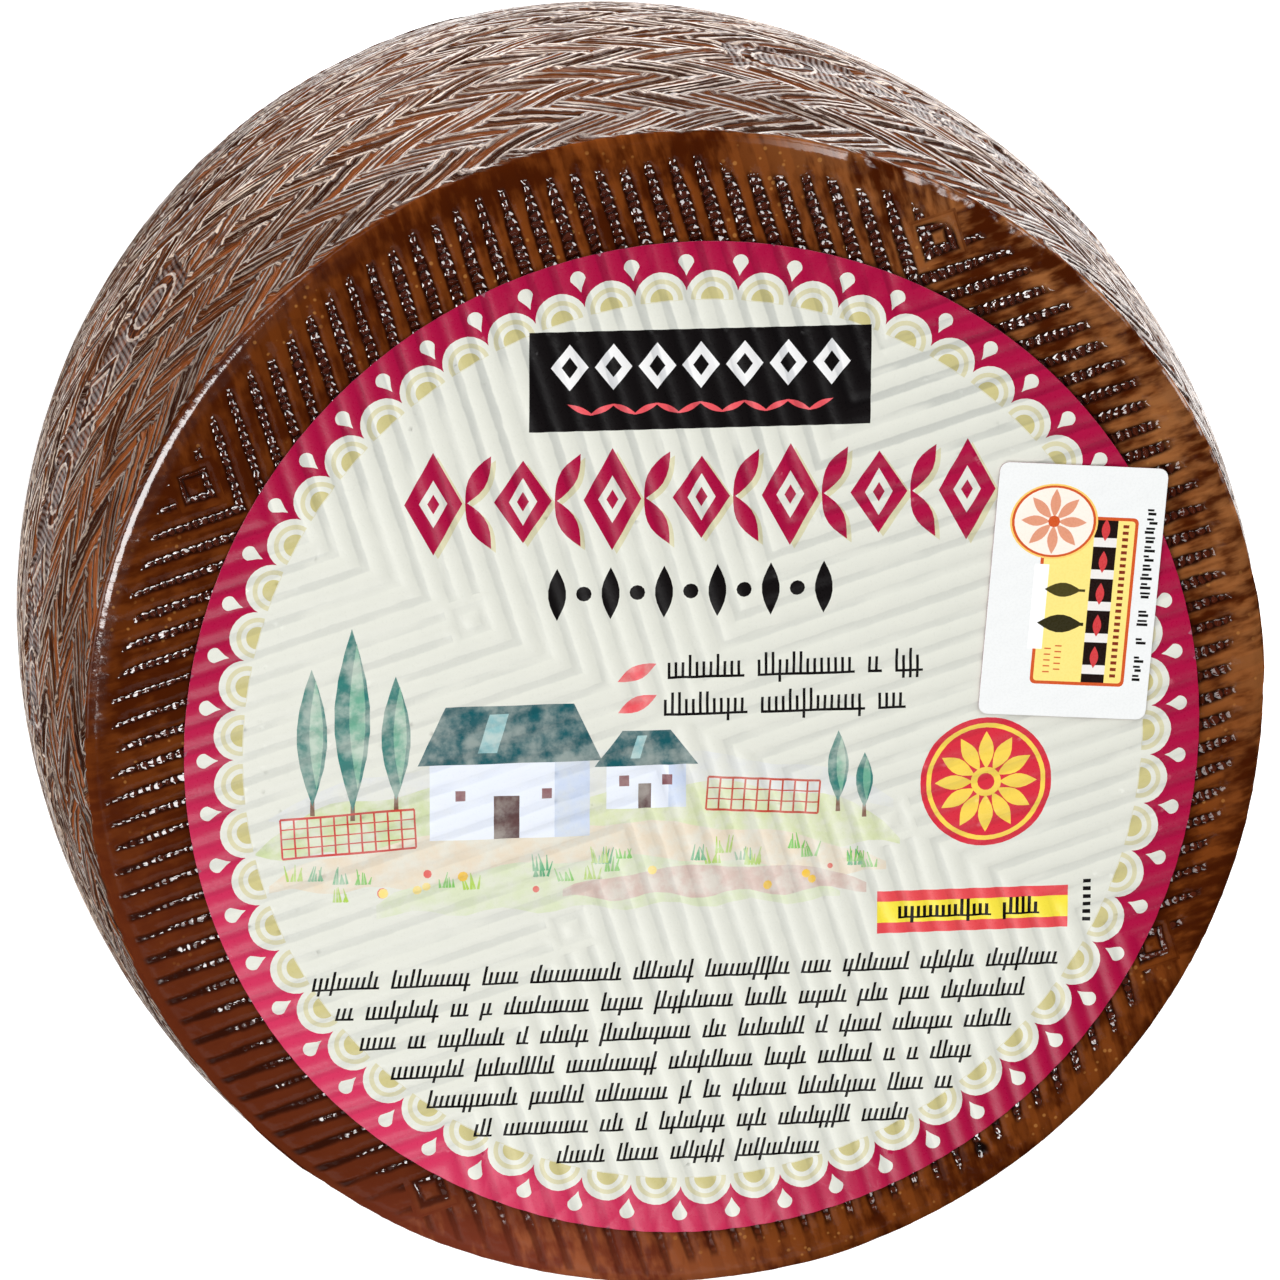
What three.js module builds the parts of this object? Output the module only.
// A pressed cheese wheel lying on its flat underside, with its label up.
// The rind keeps the print of the mould: a plaited belt round the side, pressed in as leaf-shaped
// hollows, and straight ridges on both faces, turned into four fields that meet in nested corners.
// A round paper label lies on the top face, and a small card lies over the label's edge.
// Millimetres, +Z up, origin at the centre of the underside.

import * as THREE from 'three';

// ---- Driving dimensions ----

const HEIGHT = 115;
const EDGE_RADIUS = 88.6;       // where the side's curve would meet the flat faces
const BELLY = 6.4;              // how far the side swells out at half height
const SHOULDER = 3.2;           // rounding between a face and the side

const PLAIT_ROWS = 14;
const PLAIT_STRIPS = 54;        // strips in each row
const PLAIT_LEAN = 1.2;         // sideways run of a strip across its row, in strip widths
const PLAIT_DEPTH = {           // below the smooth rind; the hollows are leaf-shaped
  crestMiddle: 0.4,
  crestEnd: 0.15,
  hollowMiddle: 1.4,
  hollowEnd: 0.6,
  rim: 0.3,                     // where the plait runs out at both shoulders
};
const PLAIT_UNEVEN = 0.15;      // hand-plaited grass is never quite even

const PANEL_STARTS = [34.3, 138.6, 266.5];   // degrees round the wheel
const PANEL_SPAN = 48;          // degrees
const PANEL_ROWS = [4, 6];      // from the top, the row edges that the panels lie between
const PANEL_DEPTH = 0.8;

const RIDGE_PITCH = 3.6;
const RIDGE_DEPTH = 1;
const RIDGE_INNER = 26;
const RIDGE_OUTER = 84;
const RIDGE_TURN = 17.4;        // degrees from +X to the first field's middle
const FIELDS = 4;
const CORE_RADIUS = 24;         // flat middle, which the wheel can rest on
const CORE_SIDES = 48;

const LABEL = { radius: 76.5, thickness: 0.3, x: 2.1, y: -3.8, sides: 96 };
const CARD = {
  width: 25.6,
  length: 38.7,
  thickness: 0.3,
  corner: 1.4,
  cornerSteps: 4,
  x: 58.8,
  y: 18.1,
  turn: -4.2,                   // degrees
};
const GAP = 0.25;               // between the things that lie on each other
const SEED = 11;

// ---- Worked-out sizes ----

const FULL_TURN = 2 * Math.PI;
const DEGREE = Math.PI / 180;
const COLUMNS = 2 * PLAIT_STRIPS;            // a hollow and a crest for each strip
const LEVELS = 2 * PLAIT_ROWS;               // an edge and a middle for each row
const STRIP_TURN = FULL_TURN / PLAIT_STRIPS;
const LINE_STEP = RIDGE_PITCH / 2;           // a crest line, then a valley line
const LINE_COUNT = Math.floor(RIDGE_OUTER / Math.SQRT2 / LINE_STEP);
const FIRST_ON_DIAGONAL = Math.ceil(RIDGE_INNER / Math.SQRT2 / LINE_STEP);
const SHOULDER_STEPS = 3;

// ---- The wheel's skin: rings of points, zipped together from the underside to the top ----

const points = [];
const faces = [];

function addPoint(x, y, z) {
  points.push(x, y, z);
  return points.length / 3 - 1;
}

function addFace(a, b, c) {
  if (a !== b && b !== c && c !== a) faces.push(a, b, c);
}

function fraction(turn) {
  return turn - Math.floor(turn);
}

// A ring is a closed list of points, each with its place from 0 to 1 round the ring.
function makeRing(ids, places) {
  const start = places.indexOf(Math.min(...places));
  const turned = (list) => [...list.slice(start), ...list.slice(0, start)];
  return { ids: turned(ids), places: turned(places) };
}

function placeByAngle(ids) {
  const angles = ids.map((id) => Math.atan2(points[3 * id + 1], points[3 * id]) / FULL_TURN);
  return makeRing(ids, angles.map(fraction));
}

function placeAt(ring, step) {
  const count = ring.ids.length;
  return ring.places[step % count] + Math.floor(step / count);
}

// Joins two rings whose places run the same way round; the later ring lies further along the skin.
function zip(first, later) {
  let i = 0;
  let j = 0;
  while (i < first.ids.length || j < later.ids.length) {
    const a = first.ids[i % first.ids.length];
    const b = later.ids[j % later.ids.length];
    if (placeAt(first, i + 1) <= placeAt(later, j + 1)) {
      i += 1;
      addFace(a, first.ids[i % first.ids.length], b);
    } else {
      j += 1;
      addFace(a, later.ids[j % later.ids.length], b);
    }
  }
}

// A linear congruential generator, so that each build draws the same numbers.
function seededRandom(seed) {
  const multiplier = 1664525;
  const increment = 1013904223;
  const modulus = 2 ** 32;
  let state = seed;
  return () => {
    state = (state * multiplier + increment) % modulus;
    return state / modulus;
  };
}

const random = seededRandom(SEED);

function sideRadius(z) {
  const along = z / HEIGHT;
  return EDGE_RADIUS + BELLY * 4 * along * (1 - along);
}

// ---- The side's plait ----

function onPanel(level, angle) {
  const degrees = fraction(angle / FULL_TURN) * FULL_TURN / DEGREE;
  const inRows = level >= 2 * PANEL_ROWS[0] && level <= 2 * PANEL_ROWS[1];
  return inRows && PANEL_STARTS.some((start) => degrees > start && degrees < start + PANEL_SPAN);
}

function plaitDepth(level, column) {
  const middle = level % 2 === 1;
  const crest = column % 2 === 1;
  const scatter = PLAIT_UNEVEN * (random() - 0.5);
  if (level === 0 || level === LEVELS) return PLAIT_DEPTH.rim;
  if (crest) return scatter + (middle ? PLAIT_DEPTH.crestMiddle : PLAIT_DEPTH.crestEnd);
  return scatter + (middle ? PLAIT_DEPTH.hollowMiddle : PLAIT_DEPTH.hollowEnd);
}

// Strips lean one way in one row and the other way in the next, so every second row edge is shifted.
function leanTurn(level) {
  const fromEvenEdge = Math.abs((level % 4) - 2) / 2;
  return PLAIT_LEAN * STRIP_TURN * fromEvenEdge;
}

function smoothRing(radius, z) {
  const ids = [];
  const places = [];
  for (let column = 0; column < COLUMNS; column += 1) {
    const angle = column / COLUMNS * FULL_TURN + leanTurn(0);
    ids.push(addPoint(radius * Math.cos(angle), radius * Math.sin(angle), z));
    places.push(column / COLUMNS);
  }
  return { ids, places };
}

function plaitRing(level) {
  const z = HEIGHT - SHOULDER - level / LEVELS * (HEIGHT - 2 * SHOULDER);
  const ids = [];
  const places = [];
  for (let column = 0; column < COLUMNS; column += 1) {
    const angle = column / COLUMNS * FULL_TURN + leanTurn(level);
    const woven = plaitDepth(level, column);
    const depth = onPanel(level, angle) ? PANEL_DEPTH : woven;
    const radius = sideRadius(z) - depth;
    ids.push(addPoint(radius * Math.cos(angle), radius * Math.sin(angle), z));
    places.push(column / COLUMNS);
  }
  return { ids, places };
}

// ---- The rounded shoulder between a face and the side ----

const SHOULDER_CENTRE = sideRadius(HEIGHT - SHOULDER) - SHOULDER;

// Rings from the face outwards, without the last one, which is the plait's first edge.
function shoulderRings(flat, inward) {
  const rings = [];
  for (let step = 0; step < SHOULDER_STEPS; step += 1) {
    const turn = step / SHOULDER_STEPS * Math.PI / 2;
    const radius = SHOULDER_CENTRE + SHOULDER * Math.sin(turn);
    rings.push(smoothRing(radius, flat + inward * SHOULDER * (1 - Math.cos(turn))));
  }
  return rings;
}

// ---- A face: a flat core and straight ridges from there to the shoulder ----

function fieldTurn(field) {
  return RIDGE_TURN * DEGREE + field / FIELDS * FULL_TURN;
}

// A point of a face, measured out along a field's ridges and across them.
function addFieldPoint(field, out, across, z) {
  const turn = fieldTurn(field);
  const x = out * Math.cos(turn) - across * Math.sin(turn);
  const y = out * Math.sin(turn) + across * Math.cos(turn);
  return addPoint(x, y, z);
}

function lineHeight(line, flat, inward) {
  const valley = line % 2 !== 0;
  return flat + (valley ? inward * RIDGE_DEPTH : 0);
}

// The points on the diagonal after a field, which it shares with the next field.
function diagonalPoints(field, flat, inward) {
  const ids = [];
  for (let line = FIRST_ON_DIAGONAL; line <= LINE_COUNT; line += 1) {
    const across = line * LINE_STEP;
    ids[line] = addFieldPoint(field, across, across, lineHeight(line, flat, inward));
  }
  return ids;
}

// In each field the ridges run straight out. A line starts on the inner circle, or on the diagonal
// where two fields meet, and ends on the outer circle.
function ridgeBand(flat, inward) {
  const diagonals = [];
  for (let field = 0; field < FIELDS; field += 1) diagonals.push(diagonalPoints(field, flat, inward));
  const starts = [];
  const ends = [];
  const places = [];
  const innerIds = [];
  for (let field = 0; field < FIELDS; field += 1) {
    const before = diagonals[(field + FIELDS - 1) % FIELDS];
    for (let line = -LINE_COUNT; line <= LINE_COUNT; line += 1) {
      const across = line * LINE_STEP;
      const z = lineHeight(line, flat, inward);
      let start;
      if (line >= FIRST_ON_DIAGONAL) start = diagonals[field][line];
      else if (line <= -FIRST_ON_DIAGONAL) start = before[-line];
      else start = addFieldPoint(field, Math.sqrt(RIDGE_INNER ** 2 - across ** 2), across, z);
      starts.push(start);
      ends.push(addFieldPoint(field, Math.sqrt(RIDGE_OUTER ** 2 - across ** 2), across, z));
      places.push((field + (line + LINE_COUNT) / (2 * LINE_COUNT + 1)) / FIELDS);
      if (line > -FIRST_ON_DIAGONAL && line <= FIRST_ON_DIAGONAL) innerIds.push(start);
    }
  }
  return {
    inner: placeByAngle(innerIds),
    starts: { ids: starts, places },
    ends: { ids: ends, places },
    outer: placeByAngle(ends),
  };
}

function coreRing(z) {
  const ids = [];
  for (let side = 0; side < CORE_SIDES; side += 1) {
    const angle = side / CORE_SIDES * FULL_TURN;
    ids.push(addPoint(CORE_RADIUS * Math.cos(angle), CORE_RADIUS * Math.sin(angle), z));
  }
  return placeByAngle(ids);
}

function middlePoint(z) {
  return { ids: [addPoint(0, 0, z)], places: [0] };
}

// The pairs of rings from the middle of a face out to its shoulder.
function facePairs(flat, inward, shoulder) {
  const core = coreRing(flat);
  const band = ridgeBand(flat, inward);
  return [
    [middlePoint(flat), core],
    [core, band.inner],
    [band.starts, band.ends],
    [band.outer, placeByAngle(shoulder[0].ids)],
    ...shoulder.slice(1).map((ring, index) => [shoulder[index], ring]),
  ];
}

function wheelGeometry() {
  const lower = shoulderRings(0, 1);
  const upper = shoulderRings(HEIGHT, -1);
  facePairs(0, 1, lower).forEach(([first, later]) => zip(first, later));
  let previous = lower[SHOULDER_STEPS - 1];
  for (let level = LEVELS; level >= 0; level -= 1) {
    const ring = plaitRing(level);
    zip(previous, ring);
    previous = ring;
  }
  zip(previous, upper[SHOULDER_STEPS - 1]);
  facePairs(HEIGHT, -1, upper).forEach(([inner, outer]) => zip(outer, inner));
  const geometry = new THREE.BufferGeometry();
  geometry.setAttribute('position', new THREE.Float32BufferAttribute(points, 3));
  geometry.setIndex(faces);
  geometry.computeVertexNormals();
  return geometry;
}

// ---- The things that lie on the wheel ----

function labelGeometry() {
  const disc = new THREE.CylinderGeometry(LABEL.radius, LABEL.radius, LABEL.thickness, LABEL.sides);
  return disc.rotateX(Math.PI / 2);
}

function cardGeometry() {
  const halfWidth = CARD.width / 2;
  const halfLength = CARD.length / 2;
  const outline = new THREE.Shape();
  const corners = [[1, 1], [-1, 1], [-1, -1], [1, -1]];
  corners.forEach(([sideways, lengthways], index) => {
    const x = sideways * (halfWidth - CARD.corner);
    const y = lengthways * (halfLength - CARD.corner);
    const from = index * FULL_TURN / 4;
    outline.absarc(x, y, CARD.corner, from, from + FULL_TURN / 4);
  });
  outline.closePath();
  const options = { depth: CARD.thickness, bevelEnabled: false, curveSegments: CARD.cornerSteps };
  return new THREE.ExtrudeGeometry(outline, options);
}

// ---- Finishes and assembly ----

const rindFinish = new THREE.MeshStandardMaterial({ color: 0x6e3b14, roughness: 0.35, metalness: 0 });
const labelFinish = new THREE.MeshStandardMaterial({ color: 0xe2dfcf, roughness: 0.45, metalness: 0 });
const cardFinish = new THREE.MeshStandardMaterial({ color: 0xf4f4f2, roughness: 0.4, metalness: 0 });

const cheese = new THREE.Group();

const wheel = new THREE.Mesh(wheelGeometry(), rindFinish);
wheel.name = 'wheel';
cheese.add(wheel);

const labelFoot = HEIGHT + GAP;
const label = new THREE.Mesh(labelGeometry(), labelFinish);
label.name = 'label';
label.position.set(LABEL.x, LABEL.y, labelFoot + LABEL.thickness / 2);
cheese.add(label);

const card = new THREE.Mesh(cardGeometry(), cardFinish);
card.name = 'card';
card.position.set(CARD.x, CARD.y, labelFoot + LABEL.thickness + GAP);
card.rotation.z = CARD.turn * DEGREE;
cheese.add(card);

export default cheese;
